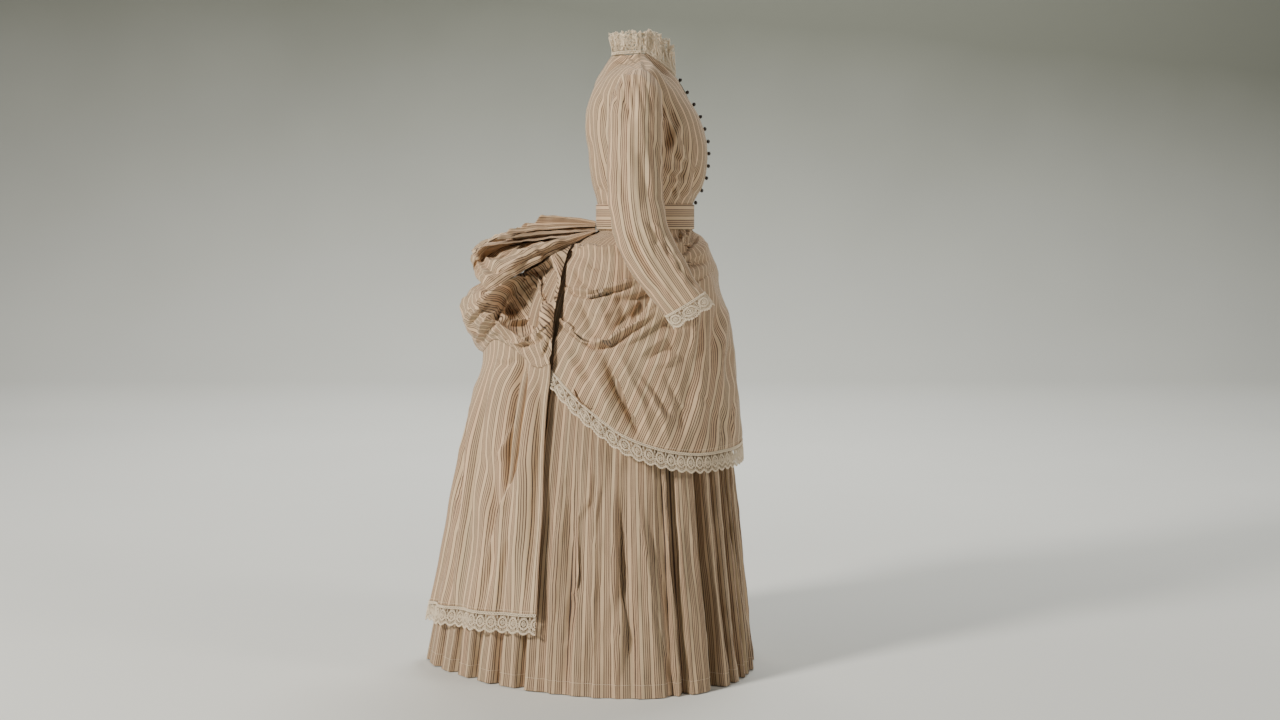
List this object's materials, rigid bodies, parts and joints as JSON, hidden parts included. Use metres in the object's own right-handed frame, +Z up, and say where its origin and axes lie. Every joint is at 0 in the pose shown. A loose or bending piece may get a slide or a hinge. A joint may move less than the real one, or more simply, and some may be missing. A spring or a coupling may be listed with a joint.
{
  "type": "bustle dress",
  "caption": "Hollow two-piece bustle dress of striped cotton with pleated underskirt, draped apron, back puffs, fitted buttoned bodice, long sleeves and lace edges.",
  "frame": {"origin": "the middle of the waist, level with the middle of the belt, where the wearer's waist holds the dress up", "axes": "+X to the front of the dress, +Y to its left side, +Z up"},
  "size_m": [0.7383, 0.712, 1.3885],
  "materials": {
    "striped_cotton": "plain weave cotton, cream with tan bands and fine dark lines",
    "belt_cotton": "the same striped cotton with its stripes lying round the waist",
    "cotton_lace": "ecru crocheted cotton lace",
    "dark_buttons": "near-black, satin"
  },
  "bodies": {
    "root": {"underskirt": "striped_cotton", "apron_overskirt": "striped_cotton", "back_panel": "striped_cotton", "bustle_upper_puff": "striped_cotton", "bustle_lower_puff": "striped_cotton", "bustle_fan": "striped_cotton", "bodice_back": "striped_cotton", "bodice_front_left": "striped_cotton", "bodice_front_right": "striped_cotton", "sleeve_left": "striped_cotton", "sleeve_right": "striped_cotton", "belt": "belt_cotton", "lace_apron": "cotton_lace", "lace_back_panel": "cotton_lace", "lace_collar": "cotton_lace", "lace_cuff_left_back": "cotton_lace", "lace_cuff_left_front": "cotton_lace", "lace_cuff_right_back": "cotton_lace", "lace_cuff_right_front": "cotton_lace", "button_01": "dark_buttons", "button_02": "dark_buttons", "button_03": "dark_buttons", "button_04": "dark_buttons", "button_05": "dark_buttons", "button_06": "dark_buttons", "button_07": "dark_buttons", "button_08": "dark_buttons", "button_09": "dark_buttons", "button_10": "dark_buttons", "button_11": "dark_buttons"}
  },
  "joints": []
}
